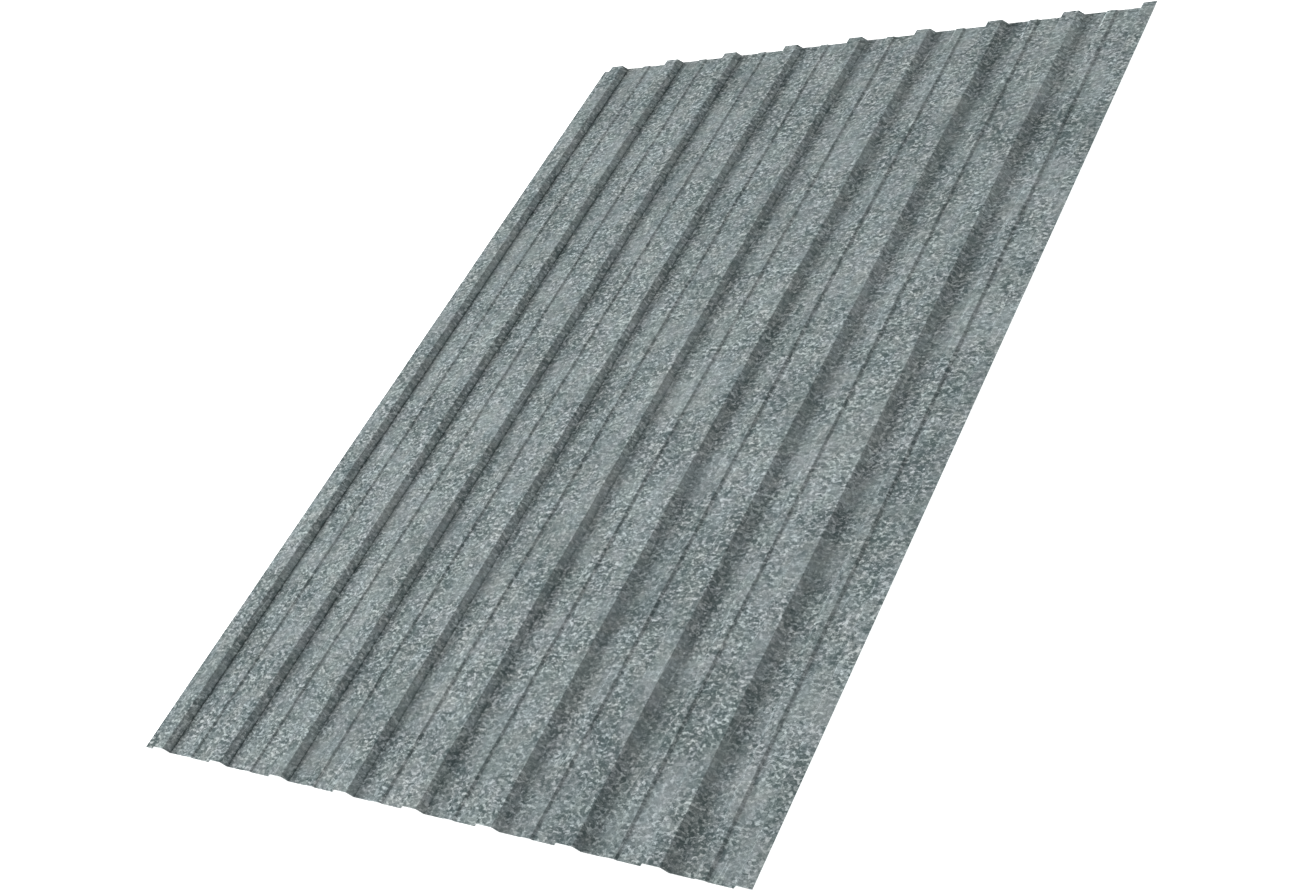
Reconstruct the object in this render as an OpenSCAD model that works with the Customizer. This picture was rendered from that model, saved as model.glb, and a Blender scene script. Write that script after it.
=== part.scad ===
// Ribbed cladding sheet, roll-formed from one flat strip of galvanised steel.
// X runs across the ribs, Y runs along them, and Z is up. The sheet lies on the undersides of its pans.

/* [Sheet] */
// Length of the sheet, along its ribs
sheet_length = 1700; // [600:50:6000]
// Thickness of the steel
sheet_thickness = 0.5; // [0.4:0.1:1.2]

/* [Ribs] */
// Number of pans, each with a rib on either side
pan_count = 8; // [2:1:12]
// Distance from the centre of one rib to the centre of the next
rib_pitch = 143.75; // [110:1.25:250]
// Height of a rib, from the upper face of a pan to the upper face of the crest
rib_height = 10; // [7:0.5:30]
// Width of the flat crest of a rib, between its sharp corners
crest_width = 28; // [22:0.5:40]
// Sideways run of the sloping web of a rib
web_run = 8.5; // [6:0.5:16]
// Inside radius of the bends of a rib
rib_bend = 2; // [1:0.25:3]

/* [Beads] */
// Height of the low bead that stiffens the middle of each pan
bead_height = 2; // [1:0.25:4]
// Width of the flat top of a bead, between its sharp corners
bead_width = 14; // [10:1:30]
// Sideways run of the sloping side of a bead
bead_run = 4; // [3.5:0.5:8]
// Inside radius of the bends of a bead
bead_bend = 2; // [1:0.25:3]

/* [Side edges] */
// Width of the flat lip outside the first rib
lip_width = 17.5; // [8:0.5:30]
// Width of crest left on the last rib, from its centre to the cut edge
last_crest = 10; // [5:0.5:12]

/* [Hidden] */

// Flat facets that make up one bend
BEND_FACETS = 4;

// Distances across the sheet, from the centre of the first rib
rib_half = crest_width / 2 + web_run;
bead_half = bead_width / 2 + bead_run;
lip_edge = -rib_half - lip_width;
last_rib = pan_count * rib_pitch;
last_edge = last_rib + last_crest;
mid_width = (lip_edge + last_edge) / 2;

// A raised form seen from the end: up one slope, along its flat top and down the other slope.
// Each corner of the strip's middle line is [across, up, inside radius of its bend].
function raised(centre, half, run, height, bend) = [
    [centre - half, 0, bend],
    [centre - half + run, height, bend],
    [centre + half - run, height, bend],
    [centre + half, 0, bend]
];

function rib(centre) = raised(centre, rib_half, web_run, rib_height, rib_bend);

function bead(centre) = raised(centre, bead_half, bead_run, bead_height, bead_bend);

// The last rib stops on its crest, so it has only its first slope
function last_rib_corners() = [
    for (i = [0:1]) rib(last_rib)[i]
];

// Corners of the middle line from the lip to the last crest
section_corners = [
    [lip_edge, 0, 0],
    for (pan = [0:pan_count - 1])
        each concat(rib(pan * rib_pitch), bead((pan + 0.5) * rib_pitch)),
    each last_rib_corners(),
    [last_edge, rib_height, 0]
];

// Direction of the straight from one corner to the next, in degrees above level
function heading(i) =
    let (step = section_corners[i + 1] - section_corners[i])
    atan2(step[1], step[0]);

// Points along one bend, each with the heading of the strip there.
// The middle line turns through an arc that touches both of its straights.
function bend_points(i) =
    let (
        before = heading(i - 1),
        turn = heading(i) - before,
        radius = section_corners[i][2] + sheet_thickness / 2,
        setback = radius * tan(abs(turn) / 2),
        start = [section_corners[i][0], section_corners[i][1]] - setback * [cos(before), sin(before)],
        side = sign(turn)
    )
    [
        for (k = [0:BEND_FACETS])
            let (now = before + turn * k / BEND_FACETS)
            [start + side * radius * [sin(now) - sin(before), cos(before) - cos(now)], now]
    ];

last_corner = len(section_corners) - 1;
middle_line = [
    [[lip_edge, 0], heading(0)],
    for (i = [1:last_corner - 1])
        each bend_points(i),
    [[last_edge, rib_height], heading(last_corner - 1)]
];

// The same line moved square to itself, towards one face of the strip
function face_line(offset) = [
    for (p = middle_line) p[0] + offset * [-sin(p[1]), cos(p[1])]
];

function reversed(points) = [
    for (i = [len(points) - 1:-1:0]) points[i]
];

// Outline of the cut end of the sheet, with the undersides of the pans at height 0
module end_outline() {
    translate([-mid_width, sheet_thickness / 2])
        polygon(concat(
            face_line(-sheet_thickness / 2),
            reversed(face_line(sheet_thickness / 2))
        ));
}

// The whole sheet: one section along the full length
module corrugated_sheet() {
    color([0.55, 0.58, 0.58])
        rotate([90, 0, 0])
            linear_extrude(height = sheet_length, center = true)
                end_outline();
}

corrugated_sheet();
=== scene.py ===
import math

import bpy
from mathutils import Matrix, Vector


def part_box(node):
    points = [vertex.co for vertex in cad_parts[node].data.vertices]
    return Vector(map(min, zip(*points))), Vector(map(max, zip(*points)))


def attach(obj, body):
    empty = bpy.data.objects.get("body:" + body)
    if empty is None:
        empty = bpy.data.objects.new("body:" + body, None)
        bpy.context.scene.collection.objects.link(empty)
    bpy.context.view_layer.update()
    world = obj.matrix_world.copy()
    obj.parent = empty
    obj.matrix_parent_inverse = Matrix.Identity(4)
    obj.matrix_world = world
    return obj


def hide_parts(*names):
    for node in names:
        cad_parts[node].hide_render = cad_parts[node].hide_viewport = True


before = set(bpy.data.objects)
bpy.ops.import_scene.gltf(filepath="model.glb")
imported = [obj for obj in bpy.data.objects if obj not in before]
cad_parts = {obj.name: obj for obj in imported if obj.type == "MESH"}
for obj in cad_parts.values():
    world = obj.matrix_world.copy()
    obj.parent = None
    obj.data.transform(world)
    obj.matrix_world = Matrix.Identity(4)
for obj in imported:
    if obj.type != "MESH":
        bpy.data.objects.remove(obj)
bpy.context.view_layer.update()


# The sheet. One strip of galvanised steel, roll-formed along its length into low flat-topped ribs with a
# shallow bead along the middle of each pan. One long edge is a flat lip; the other is a rib cut short on
# its crest, which the next sheet laps over. It lies on the undersides of its pans.

SHEET_NODE = "corrugated_sheet"
sheet_low, sheet_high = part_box(SHEET_NODE)

PANS = 8
THICKNESS = 0.0005
CREST_WIDTH = 0.028
WEB_RUN = 0.0085
RIB_BEND = 0.0008
BEAD_HEIGHT = 0.002
BEAD_WIDTH = 0.014
BEAD_RUN = 0.004
BEAD_BEND = 0.0006
LIP_WIDTH = 0.0175
LAST_CREST = 0.010

rib_half = CREST_WIDTH / 2 + WEB_RUN
rib_height = sheet_high.z - sheet_low.z - THICKNESS
sheet_length = sheet_high.y - sheet_low.y
rib_pitch = (sheet_high.x - sheet_low.x - LIP_WIDTH - rib_half - LAST_CREST) / PANS
first_rib = sheet_low.x + LIP_WIDTH + rib_half

# Thin sheet doesn't lie quite flat: its pans rise in long shallow waves and rest in between. A wave is
# noise times SLACK_GAIN less SLACK_REST, and never below the floor.

SLACK_HEIGHT = 0.0005
SLACK_SPAN = 0.16
SLACK_GAIN = 2.0
SLACK_REST = 0.7
SLACK_SEED = 3.0

# How finely the sheet is divided, how close points are welded, and which edges are sharp and faces cut.

BEND_FACETS = 4
FLAT_STEP = 0.009
ROWS = 81
WELD_REACH = 0.00002
SHARP_ANGLE = math.radians(50)
CUT_FACING = 0.98


def plug(tree, socket, value):
    """Feeds a socket from another socket, or sets its own value."""
    if isinstance(value, bpy.types.NodeSocket):
        tree.links.new(value, socket)
    else:
        socket.default_value = value


def add_node(tree, kind, inputs, **settings):
    """A node with its settings made and its inputs fed."""
    made = tree.nodes.new(kind)
    for name, value in settings.items():
        setattr(made, name, value)
    for key, value in inputs.items():
        plug(tree, made.inputs[key], value)
    return made


def given(tree, kind):
    """What a node without inputs gives."""
    return tree.nodes.new(kind).outputs[0]


def calc(tree, operation, *values):
    """One sum on numbers."""
    inputs = dict(enumerate(values))
    return add_node(tree, "ShaderNodeMath", inputs, operation=operation).outputs[0]


def vector(tree, x, y, z):
    """One vector from three numbers."""
    return add_node(tree, "ShaderNodeCombineXYZ", {"X": x, "Y": y, "Z": z}).outputs[0]


def split(tree, value):
    """The X, Y and Z of a vector."""
    return add_node(tree, "ShaderNodeSeparateXYZ", {0: value}).outputs


def add_vectors(tree, first, second):
    """The sum of two vectors."""
    return add_node(tree, "ShaderNodeVectorMath", {0: first, 1: second}, operation="ADD").outputs[0]


def scale_vector(tree, value, amount):
    """A vector made longer or shorter."""
    inputs = {0: value, "Scale": amount}
    return add_node(tree, "ShaderNodeVectorMath", inputs, operation="SCALE").outputs[0]


def compare(tree, operation, first, second):
    """Whether one number is less or greater than another."""
    inputs = {"A": first, "B": second}
    made = add_node(tree, "FunctionNodeCompare", inputs, data_type="FLOAT", operation=operation)
    return made.outputs[0]


def choose(tree, test, no, yes):
    """One number or another, by a test."""
    inputs = {"Switch": test, "False": no, "True": yes}
    return add_node(tree, "GeometryNodeSwitch", inputs, input_type="FLOAT").outputs[0]


def pick(tree, index, values):
    """The value at a place in a short list."""
    made = tree.nodes.new("GeometryNodeIndexSwitch")
    made.data_type = "FLOAT"
    while len(made.index_switch_items) < len(values):
        made.index_switch_items.new()
    plug(tree, made.inputs["Index"], index)
    for place, value in enumerate(values):
        plug(tree, made.inputs[str(place)], value)
    return made.outputs[0]


def sample(tree, geometry, kind, value, index):
    """A value read from one point of the section line."""
    inputs = {"Geometry": geometry, "Value": value, "Index": index}
    return add_node(tree, "GeometryNodeSampleIndex", inputs, data_type=kind, domain="POINT").outputs[0]


def point_count(tree, curve):
    """How many points a curve has."""
    counted = add_node(tree, "GeometryNodeAttributeDomainSize", {"Geometry": curve}, component="CURVE")
    return counted.outputs["Point Count"]


CORNERS_PER_PAN = 8
LAST_RIB_CORNERS = 3


def section_corners(tree, size, corner):
    """Each corner's place and bend, from the lip's edge on, and how many there are.

    A pan repeats eight: four on its rib and four on its bead. The last rib has three, with its cut edge.
    """
    repeated = calc(tree, "MULTIPLY", size["Pans"], CORNERS_PER_PAN)
    last_corner = calc(tree, "ADD", repeated, LAST_RIB_CORNERS)
    step = calc(tree, "SUBTRACT", corner, 1)
    pan = calc(tree, "FLOOR", calc(tree, "DIVIDE", step, CORNERS_PER_PAN))
    form = calc(tree, "FLOORED_MODULO", step, CORNERS_PER_PAN)

    crest_half = calc(tree, "DIVIDE", size["Crest Width"], 2)
    foot = calc(tree, "ADD", crest_half, size["Web Run"])
    pan_middle = calc(tree, "DIVIDE", size["Rib Pitch"], 2)
    bead_top = calc(tree, "DIVIDE", size["Bead Width"], 2)
    bead_foot = calc(tree, "ADD", bead_top, size["Bead Run"])
    across = pick(tree, form, [
        calc(tree, "MULTIPLY", foot, -1),
        calc(tree, "MULTIPLY", crest_half, -1),
        crest_half,
        foot,
        calc(tree, "SUBTRACT", pan_middle, bead_foot),
        calc(tree, "SUBTRACT", pan_middle, bead_top),
        calc(tree, "ADD", pan_middle, bead_top),
        calc(tree, "ADD", pan_middle, bead_foot),
    ])
    rib, bead = size["Rib Height"], size["Bead Height"]
    up = pick(tree, form, [0.0, rib, rib, 0.0, 0.0, bead, bead, 0.0])
    bend = pick(tree, form, [size["Rib Bend"]] * 4 + [size["Bead Bend"]] * 4)
    across = calc(tree, "MULTIPLY_ADD", pan, size["Rib Pitch"], across)

    lip_edge = calc(tree, "SUBTRACT", calc(tree, "MULTIPLY", foot, -1), size["Lip Width"])
    last_edge = calc(tree, "MULTIPLY_ADD", size["Pans"], size["Rib Pitch"], size["Last Crest"])
    is_first = compare(tree, "LESS_THAN", corner, 0.5)
    is_last = compare(tree, "GREATER_THAN", corner, calc(tree, "SUBTRACT", last_corner, 0.5))
    across = choose(tree, is_first, across, lip_edge)
    across = choose(tree, is_last, across, last_edge)
    up = choose(tree, is_first, up, 0.0)
    up = choose(tree, is_last, up, rib)
    place = vector(tree, calc(tree, "ADD", across, size["First Rib"]), 0.0, up)
    return place, bend, calc(tree, "ADD", last_corner, 1)


def section_line(tree, size):
    """The strip's middle line seen from its cut end: corners, then bends, then points along the flats."""
    corner = given(tree, "GeometryNodeInputIndex")
    place, bend, count = section_corners(tree, size, corner)
    corners = add_node(tree, "GeometryNodeMeshLine", {"Count": count})
    placed = add_node(tree, "GeometryNodeSetPosition", {"Geometry": corners.outputs[0], "Position": place})
    line = add_node(tree, "GeometryNodeMeshToCurve", {"Mesh": placed.outputs[0]})
    half_wall = calc(tree, "DIVIDE", size["Thickness"], 2)
    bent = add_node(tree, "GeometryNodeFilletCurve", {
        "Curve": line.outputs[0],
        "Count": size["Bend Facets"],
        "Radius": calc(tree, "ADD", bend, half_wall),
        "Limit Radius": True,
    }, mode="POLY")

    here = given(tree, "GeometryNodeInputPosition")
    reach = {"Value": here, "Index": calc(tree, "ADD", corner, 1)}
    there = add_node(tree, "GeometryNodeFieldAtIndex", reach, data_type="FLOAT_VECTOR", domain="POINT")
    ends = {0: here, 1: there.outputs[0]}
    span = add_node(tree, "ShaderNodeVectorMath", ends, operation="DISTANCE").outputs["Value"]
    cuts = calc(tree, "FLOOR", calc(tree, "DIVIDE", span, size["Flat Step"]))
    return add_node(tree, "GeometryNodeSubdivideCurve", {"Curve": bent.outputs[0], "Cuts": cuts}).outputs[0]


def skin_columns(tree, points):
    """The skin's columns cross the top, turn at a long edge and come back below; the last closes it."""
    grid_x = split(tree, given(tree, "GeometryNodeInputPosition"))["X"]
    column = calc(tree, "ROUND", calc(tree, "ADD", grid_x, points))
    last_below = calc(tree, "SUBTRACT", calc(tree, "MULTIPLY", points, 2), 1)
    back = calc(tree, "SUBTRACT", last_below, column)
    section_index = calc(tree, "MAXIMUM", calc(tree, "MINIMUM", column, back), 0)
    is_top = calc(tree, "LESS_THAN", column, calc(tree, "SUBTRACT", points, 0.5))
    is_closing = calc(tree, "LESS_THAN", back, -0.5)
    side = calc(tree, "MULTIPLY_ADD", calc(tree, "ADD", is_top, is_closing), 2, -1)
    return section_index, side


def cap_columns(tree, points):
    """A cut end's columns cross the section once, with one row on each face."""
    grid = split(tree, given(tree, "GeometryNodeInputPosition"))
    half_columns = calc(tree, "DIVIDE", calc(tree, "SUBTRACT", points, 1), 2)
    column = calc(tree, "ROUND", calc(tree, "ADD", grid["X"], half_columns))
    return column, calc(tree, "SIGN", grid["Y"])


def pan_slack(tree, size, across, along, up):
    """How far the sheet rises off the floor: in waves on the pans, not at all on the crests."""
    noise = add_node(tree, "ShaderNodeTexNoise", {
        "Vector": vector(tree, across, along, size["Seed"]),
        "Scale": calc(tree, "DIVIDE", 1, size["Slack Span"]),
        "Detail": 1.0,
    }, noise_dimensions="3D").outputs[0]
    wave = calc(tree, "MAXIMUM", calc(tree, "MULTIPLY_ADD", noise, SLACK_GAIN, -SLACK_REST), 0.0)
    below_crest = calc(tree, "SUBTRACT", 1, calc(tree, "DIVIDE", up, size["Rib Height"]))
    return calc(tree, "MULTIPLY", calc(tree, "MULTIPLY", wave, below_crest), size["Slack Height"])


def lay_on_strip(tree, size, section, grid, section_index, side, along):
    """Moves a grid's points onto the rolled strip, and stores where each one lies on the strip laid flat."""
    half_wall = calc(tree, "DIVIDE", size["Thickness"], 2)
    here = given(tree, "GeometryNodeInputPosition")
    middle = sample(tree, section, "FLOAT_VECTOR", here, section_index)
    tangent = given(tree, "GeometryNodeInputTangent")
    square = add_node(tree, "ShaderNodeVectorMath", {0: tangent, 1: (0, 1, 0)}, operation="CROSS_PRODUCT")
    outward = sample(tree, section, "FLOAT_VECTOR", square.outputs[0], section_index)
    offset = scale_vector(tree, outward, calc(tree, "MULTIPLY", side, half_wall))

    middle_place = split(tree, middle)
    slack = pan_slack(tree, size, middle_place["X"], along, middle_place["Z"])
    lift = calc(tree, "ADD", slack, calc(tree, "ADD", size["Underside"], half_wall))
    moved = add_vectors(tree, add_vectors(tree, middle, offset), vector(tree, 0.0, along, lift))

    run = tree.nodes.new("GeometryNodeSplineParameter").outputs["Length"]
    across = sample(tree, section, "FLOAT", run, section_index)
    stored = add_node(tree, "GeometryNodeStoreNamedAttribute", {
        "Geometry": grid,
        "Name": "strip_place",
        "Value": vector(tree, across, along, calc(tree, "MULTIPLY", side, size["Thickness"])),
    }, data_type="FLOAT_VECTOR", domain="POINT").outputs[0]
    return add_node(tree, "GeometryNodeSetPosition", {"Geometry": stored, "Position": moved}).outputs[0]


def sheet_skin(tree, size, section):
    """The strip's two faces and its two long edges, as one closed tube along the sheet."""
    points = point_count(tree, section)
    grid = add_node(tree, "GeometryNodeMeshGrid", {
        "Size X": calc(tree, "MULTIPLY", points, 2),
        "Size Y": 1.0,
        "Vertices X": calc(tree, "MULTIPLY_ADD", points, 2, 1),
        "Vertices Y": size["Rows"],
    }).outputs[0]
    section_index, side = skin_columns(tree, points)
    grid_y = split(tree, given(tree, "GeometryNodeInputPosition"))["Y"]
    along = calc(tree, "MULTIPLY", grid_y, size["Length"])
    return lay_on_strip(tree, size, section, grid, section_index, side, along)


def sheet_end(tree, size, section, end):
    """The thin face of one cut end: -1 is the near one, 1 the far one."""
    points = point_count(tree, section)
    grid = add_node(tree, "GeometryNodeMeshGrid", {
        "Size X": calc(tree, "SUBTRACT", points, 1),
        "Size Y": 1.0,
        "Vertices X": points,
        "Vertices Y": 2,
    }).outputs[0]
    section_index, side = cap_columns(tree, points)
    along = calc(tree, "MULTIPLY", size["Length"], end / 2)
    cap = lay_on_strip(tree, size, section, grid, section_index, side, along)
    if end < 0:
        return cap
    return add_node(tree, "GeometryNodeFlipFaces", {"Mesh": cap}).outputs[0]


def build_sheet_tree():
    """Geometry Nodes that roll the whole sheet from its named sizes."""
    tree = bpy.data.node_groups.new("roll_formed_sheet", "GeometryNodeTree")
    sockets = [
        ("Length", "NodeSocketFloat"), ("Thickness", "NodeSocketFloat"), ("Pans", "NodeSocketInt"),
        ("First Rib", "NodeSocketFloat"), ("Underside", "NodeSocketFloat"),
        ("Rib Pitch", "NodeSocketFloat"), ("Rib Height", "NodeSocketFloat"),
        ("Crest Width", "NodeSocketFloat"), ("Web Run", "NodeSocketFloat"), ("Rib Bend", "NodeSocketFloat"),
        ("Bead Height", "NodeSocketFloat"), ("Bead Width", "NodeSocketFloat"),
        ("Bead Run", "NodeSocketFloat"), ("Bead Bend", "NodeSocketFloat"),
        ("Lip Width", "NodeSocketFloat"), ("Last Crest", "NodeSocketFloat"),
        ("Bend Facets", "NodeSocketInt"), ("Flat Step", "NodeSocketFloat"), ("Rows", "NodeSocketInt"),
        ("Slack Height", "NodeSocketFloat"), ("Slack Span", "NodeSocketFloat"), ("Seed", "NodeSocketFloat"),
        ("Coated Face", "NodeSocketMaterial"), ("Cut Edge", "NodeSocketMaterial"),
    ]
    for name, kind in sockets:
        tree.interface.new_socket(name=name, in_out="INPUT", socket_type=kind)
    tree.interface.new_socket(name="Geometry", in_out="OUTPUT", socket_type="NodeSocketGeometry")
    size = tree.nodes.new("NodeGroupInput").outputs

    section = section_line(tree, size)
    skin = sheet_skin(tree, size, section)
    ends = [sheet_end(tree, size, section, end) for end in (-1, 1)]
    joined = tree.nodes.new("GeometryNodeJoinGeometry")
    for part in (skin, *ends):
        tree.links.new(part, joined.inputs[0])
    welded = add_node(tree, "GeometryNodeMergeByDistance", {
        "Geometry": joined.outputs[0],
        "Distance": WELD_REACH,
    })
    angle = given(tree, "GeometryNodeInputMeshEdgeAngle")
    sharp = add_node(tree, "GeometryNodeStoreNamedAttribute", {
        "Geometry": welded.outputs[0],
        "Name": "sharp_edge",
        "Value": compare(tree, "GREATER_THAN", angle, SHARP_ANGLE),
    }, data_type="BOOLEAN", domain="EDGE")
    smooth = add_node(tree, "GeometryNodeSetShadeSmooth", {"Geometry": sharp.outputs[0]})
    real = add_node(tree, "GeometryNodeRealizeInstances", {"Geometry": smooth.outputs[0]})
    coated = add_node(tree, "GeometryNodeSetMaterial", {
        "Geometry": real.outputs[0],
        "Material": size["Coated Face"],
    })
    facing = split(tree, given(tree, "GeometryNodeInputNormal"))
    sideways = calc(tree, "ABSOLUTE", facing["X"])
    endways = calc(tree, "ABSOLUTE", facing["Y"])
    edged = add_node(tree, "GeometryNodeSetMaterial", {
        "Geometry": coated.outputs[0],
        "Selection": compare(tree, "GREATER_THAN", calc(tree, "MAXIMUM", sideways, endways), CUT_FACING),
        "Material": size["Cut Edge"],
    })
    out = tree.nodes.new("NodeGroupOutput")
    tree.links.new(edged.outputs[0], out.inputs[0])
    return tree


def set_input(modifier, name, value):
    """Sets a named input of a node modifier by its socket's identifier."""
    for item in modifier.node_group.interface.items_tree:
        if item.in_out == "INPUT" and item.name == name:
            modifier[item.identifier] = value
            return
    raise KeyError(name)


def baked_mesh(host, name):
    """The evaluated mesh of an object as a plain mesh with no modifier."""
    graph = bpy.context.evaluated_depsgraph_get()
    mesh = bpy.data.meshes.new_from_object(host.evaluated_get(graph))
    mesh.name = name
    return mesh


# The zinc on both faces and over the bends. In what follows a size is in metres, levels are the two
# values of a noise or a distance between which a mark comes or goes, and tones are what it adds to the
# lightness at each. A contrast multiplies the crystals' tones instead.

NOISE_SPREAD = (0.3, 0.7)
NOISE_ROUGHNESS = 0.55
NOISE_STEP = (7.31, 3.17, 1.93)


def ramp(tree, value, levels, tones, curve="SMOOTHSTEP"):
    """A value carried from one pair of levels to another, held at both ends."""
    return add_node(tree, "ShaderNodeMapRange", {
        "Value": value,
        "From Min": levels[0],
        "From Max": levels[1],
        "To Min": tones[0],
        "To Max": tones[1],
    }, interpolation_type=curve).outputs[0]


def scaled_place(tree, place, size, offset, stretch):
    """A place measured in units of one size, and moved so that no two patterns line up."""
    return add_node(tree, "ShaderNodeMapping", {
        "Vector": place,
        "Location": offset,
        "Scale": tuple(part / size for part in stretch),
    }).outputs[0]


def cloud(tree, place, size, seed, detail=1.0, stretch=(1, 1, 1)):
    """Smooth noise with blotches about one size across."""
    spot = scaled_place(tree, place, size, tuple(seed * step for step in NOISE_STEP), stretch)
    inputs = {"Vector": spot, "Scale": 1.0, "Detail": detail, "Roughness": NOISE_ROUGHNESS}
    return add_node(tree, "ShaderNodeTexNoise", inputs, noise_dimensions="3D")


def warped(tree, place, size, reach, seed):
    """The same place pushed about by noise."""
    push = cloud(tree, place, size, seed).outputs["Color"]
    centred = add_node(tree, "ShaderNodeVectorMath", {0: push, 1: (0.5, 0.5, 0.5)}, operation="SUBTRACT")
    return add_vectors(tree, place, scale_vector(tree, centred.outputs[0], reach))


def flat_strip(tree):
    """Where a point lies on the strip laid flat: across it, along it, and through its thickness."""
    return add_node(tree, "ShaderNodeAttribute", {}, attribute_name="strip_place").outputs["Vector"]


def blend(tree, factor, dark, light):
    """A colour between two others."""
    inputs = {"Factor": factor, "A": (*dark, 1), "B": (*light, 1)}
    return add_node(tree, "ShaderNodeMix", inputs, data_type="RGBA", clamp_factor=True).outputs["Result"]


def new_material(name):
    """A material with its node tree and its shader."""
    made = bpy.data.materials.new(name)
    made.use_nodes = True
    return made, made.node_tree, made.node_tree.nodes["Principled BSDF"]


CRYSTAL_SIZE = 0.0051
CRYSTAL_OFFSET = (11.54, 4.78, 8.82)
CRYSTAL_STRETCH = (0.8, 1.15, 1)
CRYSTAL_TONES = (-0.15, 0.29)
GROOVE_LEVELS = (0.0, 0.1)
GROOVE_TONES = (-0.16, 0.0)
SPECK_SIZE = 0.0054
SPECK_LEVELS = (0.55, 0.63)
SPECK_TONES = (-0.06, 0.38)
CURL_SIZE = 0.0074
CURL_LINE = 0.52
CURL_LEVELS = (0.015, 0.045)
CURL_TONES = (0.2, -0.02)
GRIT_SIZE = 0.0028
GRIT_TONES = (-0.07, 0.07)


def crystals(tree, place, feature):
    """Cells of zinc crystal: the nearest one's own colour, or how near the rim between two is."""
    spot = scaled_place(tree, place, CRYSTAL_SIZE, CRYSTAL_OFFSET, CRYSTAL_STRETCH)
    inputs = {"Vector": spot, "Scale": 1.0, "Randomness": 1.0}
    return add_node(tree, "ShaderNodeTexVoronoi", inputs, voronoi_dimensions="3D", feature=feature)


def crystal_marks(tree, place):
    """The tone of the crystals with the grooves, specks, curls and grit in them, and their gloss."""
    crystal = crystals(tree, place, "F1").outputs["Color"]
    crystal = add_node(tree, "ShaderNodeSeparateColor", {"Color": crystal}).outputs
    rim = crystals(tree, place, "DISTANCE_TO_EDGE").outputs["Distance"]
    speck = cloud(tree, place, SPECK_SIZE, seed=3, detail=0.5, stretch=CRYSTAL_STRETCH).outputs[0]
    curl = cloud(tree, place, CURL_SIZE, seed=4, detail=0.0, stretch=CRYSTAL_STRETCH).outputs[0]
    from_curl = calc(tree, "ABSOLUTE", calc(tree, "SUBTRACT", curl, CURL_LINE))
    grit = cloud(tree, place, GRIT_SIZE, seed=17, detail=0.0, stretch=CRYSTAL_STRETCH).outputs[0]

    flake_tone = ramp(tree, crystal["Red"], (0.0, 1.0), CRYSTAL_TONES, "LINEAR")
    groove_tone = ramp(tree, rim, GROOVE_LEVELS, GROOVE_TONES)
    speck_tone = ramp(tree, speck, SPECK_LEVELS, SPECK_TONES)
    curl_tone = ramp(tree, from_curl, CURL_LEVELS, CURL_TONES)
    grit_tone = ramp(tree, grit, NOISE_SPREAD, GRIT_TONES, "LINEAR")
    flake_tone = calc(tree, "ADD", flake_tone, groove_tone)
    marks = calc(tree, "ADD", flake_tone, calc(tree, "ADD", speck_tone, curl_tone))
    return calc(tree, "ADD", marks, grit_tone), crystal["Green"]


PATCH_SIZE = 0.11
PATCH_LEVELS = (0.36, 0.56)
PATCH_CONTRAST = (0.61, 1.06)
CLUSTER_SIZE = 0.03
CLUSTER_LEVELS = (0.36, 0.62)
CLUSTER_CONTRAST = (0.76, 1.16)
WEB_EDGE_SHARES = (0.4, 0.6)
WEB_CONTRAST = (0.78, 1.0)


def crystal_contrast(tree, place, from_rib):
    """How strongly the crystals show: by patches, by clusters within them, and less where rolls pressed."""
    patch = cloud(tree, place, PATCH_SIZE, seed=5, detail=2.0).outputs[0]
    cluster = cloud(tree, place, CLUSTER_SIZE, seed=10, detail=2.0).outputs[0]
    patchy = ramp(tree, patch, PATCH_LEVELS, PATCH_CONTRAST)
    clustered = ramp(tree, cluster, CLUSTER_LEVELS, CLUSTER_CONTRAST)
    from_web = calc(tree, "ABSOLUTE", calc(tree, "SUBTRACT", from_rib, (CREST_WIDTH + WEB_RUN) / 2))
    web_edge = tuple(WEB_RUN * share for share in WEB_EDGE_SHARES)
    pressed = ramp(tree, from_web, web_edge, WEB_CONTRAST)
    return calc(tree, "MULTIPLY", calc(tree, "MULTIPLY", patchy, clustered), pressed)


GRAIN_SIZE = 0.012
GRAIN_TONES = (-0.075, 0.075)
DRIFT_SIZE = 0.16
DRIFT_TONES = (-0.08, 0.08)
SMUDGE_SIZE = 0.045
SMUDGE_STRETCH = (1.3, 0.7, 1)
SMUDGE_LEVELS = (0.3, 0.5)
SMUDGE_TONES = (-0.065, 0.0)
STAIN_SIZE = 0.2
STAIN_STRETCH = (1.6, 1, 1)
STAIN_LEVELS = (0.38, 0.54)
STAIN_TONES = (-0.09, 0.02)
STAINED_ACROSS = (0.55, 0.95)
STAINED_SHARES = (0.2, 1.0)
SCRATCH_WIDTH = 0.0018
SCRATCH_STRETCH = (1, 0.018, 1)
SCRATCH_TILT = math.radians(5)
SCRATCH_LEVELS = (0.7, 0.78)
SCRATCH_TONES = (0.0, 0.3)
SCRATCHED_SIZE = 0.07
SCRATCHED_LEVELS = (0.58, 0.68)


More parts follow.
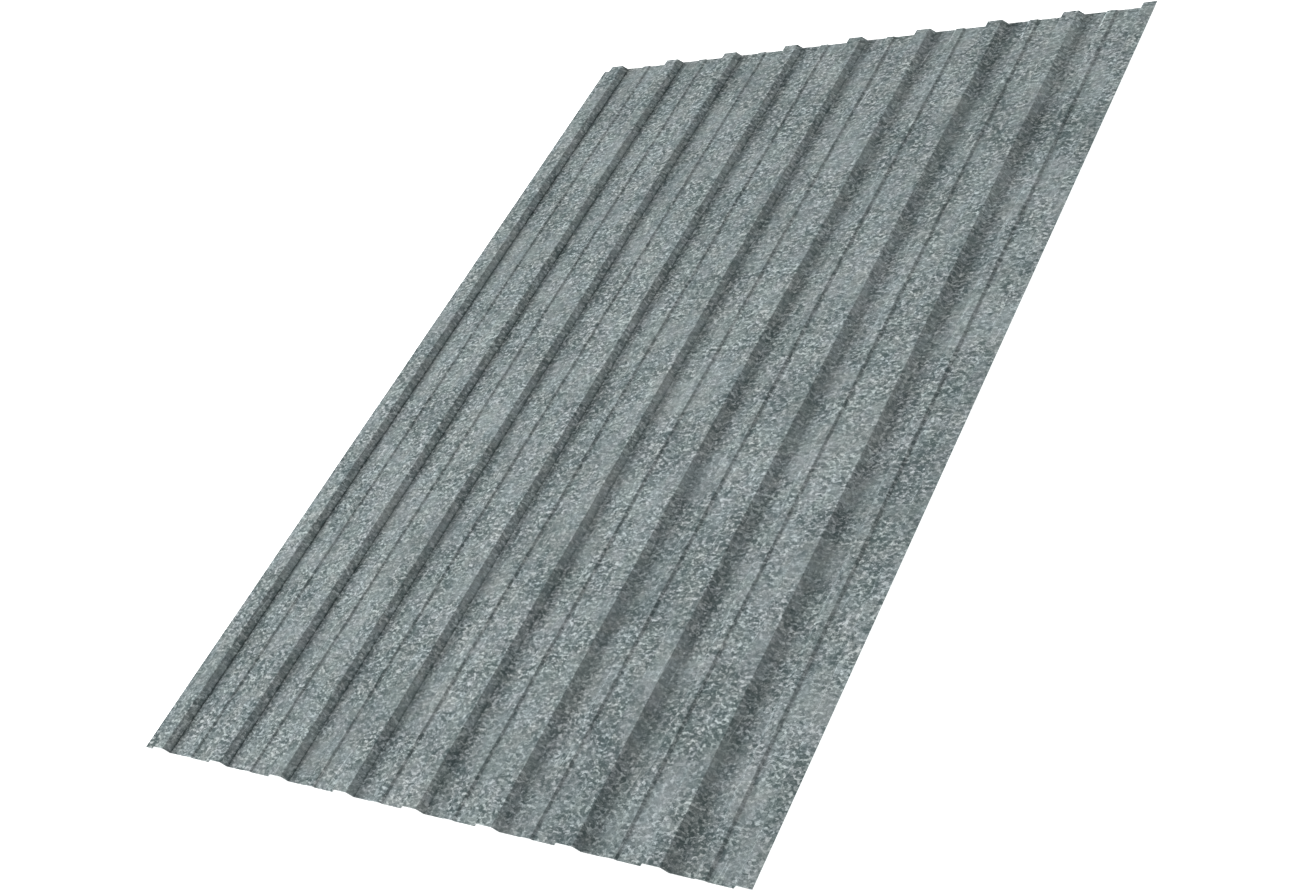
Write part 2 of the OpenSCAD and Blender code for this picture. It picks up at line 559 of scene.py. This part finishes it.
def weathering(tree, place):
    """The tones that age adds: grain, slow drift, smudges, stains towards the cut rib, and scratches."""
    grain = cloud(tree, place, GRAIN_SIZE, seed=11).outputs[0]
    drift = cloud(tree, place, DRIFT_SIZE, seed=6, detail=3.0).outputs[0]
    smudge = cloud(tree, place, SMUDGE_SIZE, seed=7, detail=3.0, stretch=SMUDGE_STRETCH).outputs[0]
    stain = cloud(tree, place, STAIN_SIZE, seed=12, detail=2.0, stretch=STAIN_STRETCH).outputs[0]
    stain_tone = ramp(tree, stain, STAIN_LEVELS, STAIN_TONES)
    stained = ramp(tree, split(tree, place)["X"], STAINED_ACROSS, STAINED_SHARES)

    tilt = {"Vector": place, "Rotation": (0, 0, SCRATCH_TILT)}
    tilted = add_node(tree, "ShaderNodeMapping", tilt).outputs[0]
    scratch = cloud(tree, tilted, SCRATCH_WIDTH, seed=8, detail=0.0, stretch=SCRATCH_STRETCH).outputs[0]
    scratched = cloud(tree, place, SCRATCHED_SIZE, seed=9, detail=0.0).outputs[0]
    scratch_tone = ramp(tree, scratch, SCRATCH_LEVELS, SCRATCH_TONES)
    scratched = ramp(tree, scratched, SCRATCHED_LEVELS, (0.0, 1.0))
    return [
        ramp(tree, grain, NOISE_SPREAD, GRAIN_TONES, "LINEAR"),
        ramp(tree, drift, NOISE_SPREAD, DRIFT_TONES, "LINEAR"),
        ramp(tree, smudge, SMUDGE_LEVELS, SMUDGE_TONES),
        calc(tree, "MULTIPLY", stain_tone, stained),
        calc(tree, "MULTIPLY", scratch_tone, scratched),
    ]


# Painted shade: a dark line along the foot of each web, darkest on the lip side and fading towards the
# middle.
CREASE_SHADE_PAST_FOOT = 0.0003
CREASE_SHADE_REACH = 0.003
CREASE_SHADE_TONE = -0.15
CREASE_SHADE_FADES_ACROSS = (0.0, 0.35)


def crease_dirt(tree, across, from_rib):
    """A thin line of painted shade at the feet of the webs, in place of the shade and dark reflection there:
    full from the lip to the middle, then fading out.
    """
    from_foot = calc(tree, "ABSOLUTE", calc(tree, "SUBTRACT", from_rib, rib_half + CREASE_SHADE_PAST_FOOT))
    line = ramp(tree, from_foot, (0.0, CREASE_SHADE_REACH), (CREASE_SHADE_TONE, 0.0))
    return calc(tree, "MULTIPLY", line, ramp(tree, across, CREASE_SHADE_FADES_ACROSS, (1.0, 0.0)))


BLOOM_SIZE = 0.035
BLOOM_LEVELS = (0.35, 0.65)
BLOOM_RED = (0.988, 1.040)
BLOOM_BLUE = (0.982, 1.020)


def bloomed(tree, place, colour):
    """A colour that drifts a little between warm and cool."""
    bloom = cloud(tree, place, BLOOM_SIZE, seed=13, detail=2.0).outputs["Color"]
    bloom = add_node(tree, "ShaderNodeSeparateColor", {"Color": bloom}).outputs
    parts = add_node(tree, "ShaderNodeSeparateColor", {"Color": colour}).outputs
    red = calc(tree, "MULTIPLY", parts["Red"], ramp(tree, bloom["Red"], BLOOM_LEVELS, BLOOM_RED))
    blue = calc(tree, "MULTIPLY", parts["Blue"], ramp(tree, bloom["Blue"], BLOOM_LEVELS, BLOOM_BLUE))
    mixed = {"Red": red, "Green": parts["Green"], "Blue": blue}
    return add_node(tree, "ShaderNodeCombineColor", mixed).outputs["Color"]


DULL_ZINC = (0.139, 0.190, 0.193)
BRIGHT_ZINC = (0.849, 0.950, 0.955)
BASE_TONE = 0.42
MARKS_MIDDLE = 0.15
ZINC_METAL = 0.78
ZINC_GRAZING = (0.1, 0.1, 0.1, 1)
ZINC_ROUGHNESS = (0.06, 0.18)
ZINC_RELIEF = 0.0001
ZINC_RELIEF_STRENGTH = 0.3
FACES_APART = 90
WARP_SIZE = 0.0042
WARP_REACH = 0.0046


def spangled_zinc():
    """Weathered zinc: fine crystals that differ in tone and gloss, smoother patches, a few scratches."""
    made, tree, shader = new_material("spangled_zinc")
    strip = flat_strip(tree)
    place = add_node(tree, "ShaderNodeMapping", {"Vector": strip, "Scale": (1, 1, FACES_APART)}).outputs[0]
    marks, gloss = crystal_marks(tree, warped(tree, place, WARP_SIZE, WARP_REACH, seed=1))

    across = split(tree, add_node(tree, "ShaderNodeTexCoord", {}).outputs["Object"])["X"]
    from_pan_start = calc(tree, "SUBTRACT", across, first_rib - rib_pitch / 2)
    in_pitch = calc(tree, "FLOORED_MODULO", from_pan_start, rib_pitch)
    from_rib = calc(tree, "ABSOLUTE", calc(tree, "SUBTRACT", in_pitch, rib_pitch / 2))

    contrast = crystal_contrast(tree, place, from_rib)
    tone = calc(tree, "MULTIPLY_ADD", calc(tree, "SUBTRACT", marks, MARKS_MIDDLE), contrast, BASE_TONE)
    # The tone takes the weathering marks and a painted shade line at the feet of the webs.
    for added in (*weathering(tree, place), crease_dirt(tree, across, from_rib)):
        tone = calc(tree, "ADD", tone, added)
    colour = blend(tree, tone, DULL_ZINC, BRIGHT_ZINC)
    plug(tree, shader.inputs["Base Color"], bloomed(tree, place, colour))
    plug(tree, shader.inputs["Metallic"], ZINC_METAL)
    plug(tree, shader.inputs["Specular Tint"], ZINC_GRAZING)
    plug(tree, shader.inputs["Roughness"], ramp(tree, gloss, (0.0, 1.0), ZINC_ROUGHNESS, "LINEAR"))
    relief = {"Height": marks, "Strength": ZINC_RELIEF_STRENGTH, "Distance": ZINC_RELIEF}
    plug(tree, shader.inputs["Normal"], add_node(tree, "ShaderNodeBump", relief).outputs[0])
    return made


# The sheared edges show the steel itself: a smooth bright land where the blade went in, torn dull steel
# below it, and drag lines down through both. The land's lower edge is in shares of the thickness.

TORN_STEEL = (0.20, 0.225, 0.228)
SHEARED_STEEL = (0.42, 0.45, 0.45)
STEEL_METAL = 0.8
LAND_WAVER_SIZE = 0.004
LAND_EDGE_SHARES = (-0.5, 0.4)
LAND_FADE_SHARE = 0.2
LAND_TONE = 0.6
DRAG_SIZE = 0.0005
DRAG_STRETCH = (1, 1, 0.12)
DRAG_TONES = (0.0, 0.4)
EDGE_STAIN_SIZE = 0.02
EDGE_STAIN_LEVELS = (0.35, 0.6)
EDGE_STAIN_SHARES = (0.55, 1.0)
EDGE_TONE_LEVELS = (0.1, 0.9)
EDGE_ROUGHNESS = (0.6, 0.3)
EDGE_RELIEF = 0.00005
EDGE_RELIEF_STRENGTH = 0.5


def sheared_edge():
    """The cut edge's steel, by how deep in the thickness a point lies."""
    made, tree, shader = new_material("cut_steel")
    strip = flat_strip(tree)
    waver = cloud(tree, strip, LAND_WAVER_SIZE, seed=14, detail=2.0).outputs[0]
    edge_depths = tuple(THICKNESS * share for share in LAND_EDGE_SHARES)
    land_edge = ramp(tree, waver, NOISE_SPREAD, edge_depths, "LINEAR")
    into_land = calc(tree, "SUBTRACT", split(tree, strip)["Z"], land_edge)
    land = ramp(tree, into_land, (0.0, THICKNESS * LAND_FADE_SHARE), (0.0, 1.0))
    drag = cloud(tree, strip, DRAG_SIZE, seed=15, detail=2.0, stretch=DRAG_STRETCH).outputs[0]
    drag_tone = ramp(tree, drag, NOISE_SPREAD, DRAG_TONES, "LINEAR")
    stained = cloud(tree, strip, EDGE_STAIN_SIZE, seed=16, detail=3.0).outputs[0]
    tone = calc(tree, "MULTIPLY_ADD", land, LAND_TONE, drag_tone)
    tone = calc(tree, "MULTIPLY", tone, ramp(tree, stained, EDGE_STAIN_LEVELS, EDGE_STAIN_SHARES))
    plug(tree, shader.inputs["Base Color"], blend(tree, tone, TORN_STEEL, SHEARED_STEEL))
    plug(tree, shader.inputs["Metallic"], STEEL_METAL)
    plug(tree, shader.inputs["Roughness"], ramp(tree, tone, EDGE_TONE_LEVELS, EDGE_ROUGHNESS))
    relief = {"Height": drag, "Strength": EDGE_RELIEF_STRENGTH, "Distance": EDGE_RELIEF}
    plug(tree, shader.inputs["Normal"], add_node(tree, "ShaderNodeBump", relief).outputs[0])
    return made


zinc = spangled_zinc()
cut_steel = sheared_edge()

sheet = bpy.data.objects.new("rolled_sheet", bpy.data.meshes.new("rolled_sheet"))
bpy.context.scene.collection.objects.link(sheet)
rolling = sheet.modifiers.new("rolling", "NODES")
rolling.node_group = build_sheet_tree()
for name, value in {
    "Length": sheet_length, "Thickness": THICKNESS, "Pans": PANS,
    "First Rib": first_rib, "Underside": sheet_low.z,
    "Rib Pitch": rib_pitch, "Rib Height": rib_height,
    "Crest Width": CREST_WIDTH, "Web Run": WEB_RUN, "Rib Bend": RIB_BEND,
    "Bead Height": BEAD_HEIGHT, "Bead Width": BEAD_WIDTH, "Bead Run": BEAD_RUN, "Bead Bend": BEAD_BEND,
    "Lip Width": LIP_WIDTH, "Last Crest": LAST_CREST,
    "Bend Facets": BEND_FACETS, "Flat Step": FLAT_STEP, "Rows": ROWS,
    "Slack Height": SLACK_HEIGHT, "Slack Span": SLACK_SPAN, "Seed": SLACK_SEED,
    "Coated Face": zinc, "Cut Edge": cut_steel,
}.items():
    set_input(rolling, name, value)
flats = sheet.modifiers.new("flats", "WEIGHTED_NORMAL")
flats.keep_sharp = True
plain = baked_mesh(sheet, "rolled_sheet")
sheet.modifiers.clear()
sheet.data = plain

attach(sheet, "root")
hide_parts(SHEET_NODE)


# The studio. A pale floor just under the sheet, one wide soft lamp low on the lip side that the gloss
# doesn't mirror, and a pale surround that is brighter near the horizon.

FLOOR_SIZE = 400
FLOOR_DROP = 0.0004
FLOOR_GREY = 0.6
FLOOR_ROUGHNESS = 0.9
FLOOR_GLOW = 0.9

bpy.ops.mesh.primitive_plane_add(size=FLOOR_SIZE, location=(0, 0, -FLOOR_DROP))
floor = bpy.context.object
floor.name = "studio_floor"
paint, paint_tree, shader = new_material("floor_paint")
plug(paint_tree, shader.inputs["Base Color"], (FLOOR_GREY, FLOOR_GREY, FLOOR_GREY, 1))
plug(paint_tree, shader.inputs["Roughness"], FLOOR_ROUGHNESS)
plug(paint_tree, shader.inputs["Emission Color"], (1, 1, 1, 1))
plug(paint_tree, shader.inputs["Emission Strength"], FLOOR_GLOW)
floor.data.materials.append(paint)

LAMP_PLACE = Vector((-3.0, 0.0, 1.05))
LAMP_WIDTH = 1.6
LAMP_DEPTH = 0.95
LAMP_POWER = 100
LAMP_STRENGTH = 0.47
lamp_data = bpy.data.lights.new("soft_lamp", "AREA")
lamp_data.shape = "RECTANGLE"
lamp_data.size = LAMP_WIDTH
lamp_data.size_y = LAMP_DEPTH
lamp_data.cycles.use_multiple_importance_sampling = False
lamp_data.energy = LAMP_POWER
lamp_data.use_nodes = True
lamp_tree = lamp_data.node_tree
even = add_node(lamp_tree, "ShaderNodeLightFalloff", {"Strength": LAMP_STRENGTH}).outputs["Constant"]
plug(lamp_tree, lamp_tree.nodes["Emission"].inputs["Strength"], even)
lamp = bpy.data.objects.new("soft_lamp", lamp_data)
lamp.location = LAMP_PLACE
lamp.visible_glossy = False
lamp.rotation_mode = "QUATERNION"
lamp.rotation_quaternion = (-LAMP_PLACE).to_track_quat("-Z", "Y")
bpy.context.scene.collection.objects.link(lamp)

WALL_SHADES = (0.372, 0.286)
GLOW_LEVELS = (0.16, 0.36)
GLOW_SHADE = 0.67
surround = bpy.data.worlds.new("surround")
surround.use_nodes = True
sky = surround.node_tree
toward = split(sky, sky.nodes.new("ShaderNodeTexCoord").outputs["Generated"])
wall = ramp(sky, toward["X"], (-1.0, 1.0), WALL_SHADES, "LINEAR")
glow = ramp(sky, toward["Z"], GLOW_LEVELS, (GLOW_SHADE, 0.0))
plug(sky, sky.nodes["Background"].inputs["Strength"], calc(sky, "ADD", wall, glow))
plug(sky, sky.nodes["Background"].inputs["Color"], (1, 1, 1, 1))
bpy.context.scene.world = surround

bpy.context.scene.view_settings.view_transform = "Standard"


# The camera looks down on the sheet from beyond the corner of the cut rib and the near end.

CAMERA_PLACE = Vector((1.7809, -1.5711, 1.7128))
CAMERA_AIM = Vector((-0.0142, -0.1634, 0.0))
CAMERA_ROLL = math.radians(34.5)
CAMERA_LENS = 48.84
CAMERA_SENSOR = 36
CAMERA_SHIFT = 0.0324
camera_data = bpy.data.cameras.new("camera")
camera_data.lens = CAMERA_LENS
camera_data.sensor_width = CAMERA_SENSOR
camera_data.shift_x = CAMERA_SHIFT
camera = bpy.data.objects.new("camera", camera_data)
camera.rotation_mode = "QUATERNION"
facing = (CAMERA_AIM - CAMERA_PLACE).to_track_quat("-Z", "Y").to_matrix()
camera.rotation_quaternion = (facing @ Matrix.Rotation(-CAMERA_ROLL, 3, "Z")).to_quaternion()
camera.location = CAMERA_PLACE
bpy.context.scene.collection.objects.link(camera)
bpy.context.scene.camera = camera
